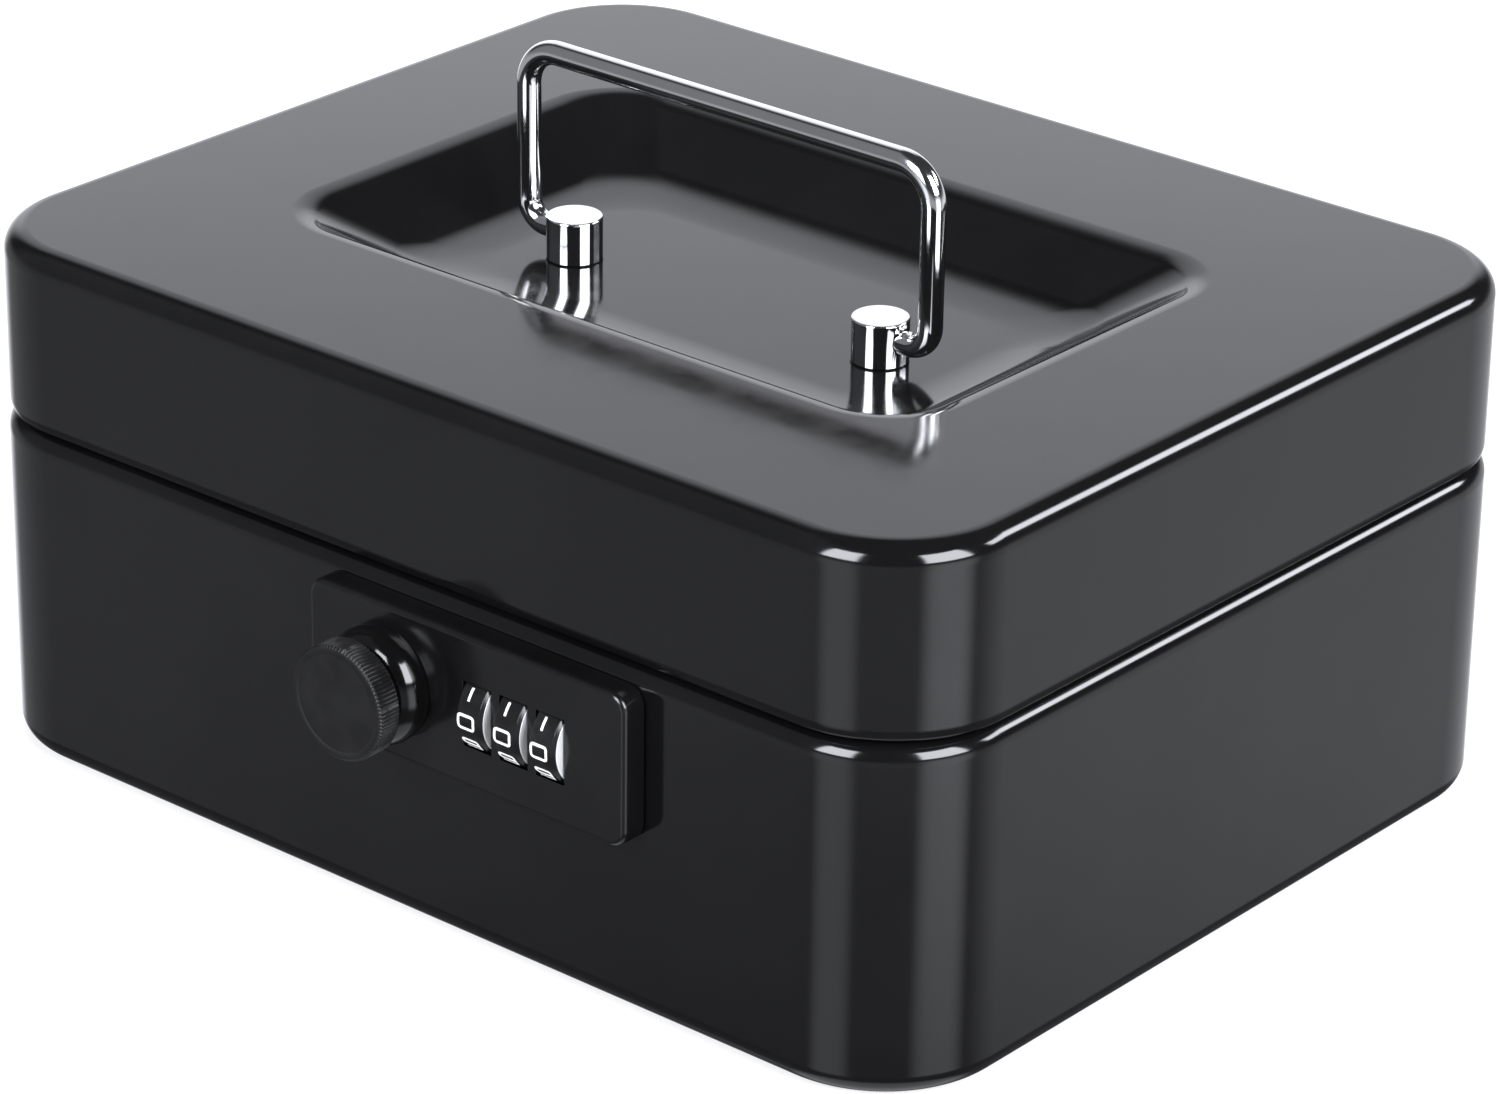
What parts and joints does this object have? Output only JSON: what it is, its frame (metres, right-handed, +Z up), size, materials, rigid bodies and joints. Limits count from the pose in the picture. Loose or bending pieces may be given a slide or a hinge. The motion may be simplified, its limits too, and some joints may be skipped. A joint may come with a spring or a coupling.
{
  "type": "cash box",
  "caption": "Small black steel cash box with a rounded hinged lid, sunken chrome folding handle, dial combination lock with a turn knob, and a lift-up coin tray inside.",
  "frame": {"origin": "centre of the flat underside of the box body", "axes": "+X to the right along the front face, -Y out of the front face with the lock, +Y towards the hinges, +Z up"},
  "size_m": [0.2004, 0.1839, 0.1165],
  "materials": {
    "black_paint": "smooth gloss black powder coat on sheet steel",
    "lock_black": "satin black coated zinc casting",
    "collar_black": "polished gloss black",
    "knob_black": "fine matte black",
    "dial_black": "satin black rim with white digits 0 to 9 and a bright plated side",
    "chrome": "bright polished chrome plating",
    "zinc": "dull bright zinc plating",
    "spring_steel": "polished spring strip",
    "brass": "turned brass",
    "tray_plastic": "fine grained dark moulded plastic"
  },
  "bodies": {
    "base": {"base_shell": "black_paint", "lock_plate": "lock_black", "knob_collar": "collar_black", "collar_nut": "zinc", "lock_case": "zinc", "lock_cover": "zinc", "dial_bracket": "zinc", "detent_spring": "spring_steel", "tray_ledge_left": "black_paint", "hinge_base_leaf_left": "black_paint", "hinge_pin_left": "zinc", "cover_screw_left": "zinc", "tray_ledge_right": "black_paint", "hinge_base_leaf_right": "black_paint", "hinge_pin_right": "zinc", "cover_screw_right": "zinc"},
    "lid": {"lid_shell": "black_paint", "lid_striker": "zinc", "hinge_lid_leaf_left": "black_paint", "handle_post_left": "chrome", "post_washer_left": "zinc", "post_nut_left": "zinc", "hinge_lid_leaf_right": "black_paint", "handle_post_right": "chrome", "post_washer_right": "zinc", "post_nut_right": "zinc"},
    "handle": {"handle_bail": "chrome"},
    "knob": {"knob_disc": "knob_black", "knob_spindle": "zinc", "crank_arm": "zinc"},
    "latch": {"latch_bar": "zinc", "code_rod": "zinc"},
    "dial_1": {"dial_wheel_1": "dial_black", "dial_sleeve_1": "brass"},
    "dial_2": {"dial_wheel_2": "dial_black", "dial_sleeve_2": "brass"},
    "dial_3": {"dial_wheel_3": "dial_black", "dial_sleeve_3": "brass"},
    "code_lever": {"code_lever": "knob_black"},
    "tray": {"money_tray": "tray_plastic"}
  },
  "joints": [
    {"name": "lid_hinge", "type": "hinge", "parent": "base", "child": "lid", "pos_m": [0, 0.08335, 0.061], "axis": [-1, 0, 0], "range_deg": [0, 102]},
    {"name": "handle_hinge", "type": "hinge", "parent": "lid", "child": "handle", "pos_m": [0, -0.0053, 0.08445], "axis": [-1, 0, 0], "range_deg": [-81, 93]},
    {"name": "knob_turn", "type": "hinge", "parent": "base", "child": "knob", "pos_m": [0.0013, -0.09, 0.0432], "axis": [0, -1, 0], "range_deg": [-90, 0]},
    {"name": "latch_slide", "type": "slide", "parent": "base", "child": "latch", "axis": [1, 0, 0], "range_m": [0, 0.00651]},
    {"name": "dial_1_spin", "type": "hinge", "parent": "base", "child": "dial_1", "pos_m": [0.02025, -0.0802, 0.043], "axis": [1, 0, 0], "continuous": true},
    {"name": "dial_2_spin", "type": "hinge", "parent": "base", "child": "dial_2", "pos_m": [0.02768, -0.0802, 0.043], "axis": [1, 0, 0], "continuous": true},
    {"name": "dial_3_spin", "type": "hinge", "parent": "base", "child": "dial_3", "pos_m": [0.03511, -0.0802, 0.043], "axis": [1, 0, 0], "continuous": true},
    {"name": "code_lever_slide", "type": "slide", "parent": "base", "child": "code_lever", "axis": [1, 0, 0], "range_m": [0, 0.003]},
    {"name": "tray_lift", "type": "slide", "parent": "base", "child": "tray", "axis": [0, 0, 1], "range_m": [0, 0.009]}
  ],
  "couplings": [
    {"joint": "latch_slide", "follows": "knob_turn", "m_per_rad": -0.0041415}
  ]
}
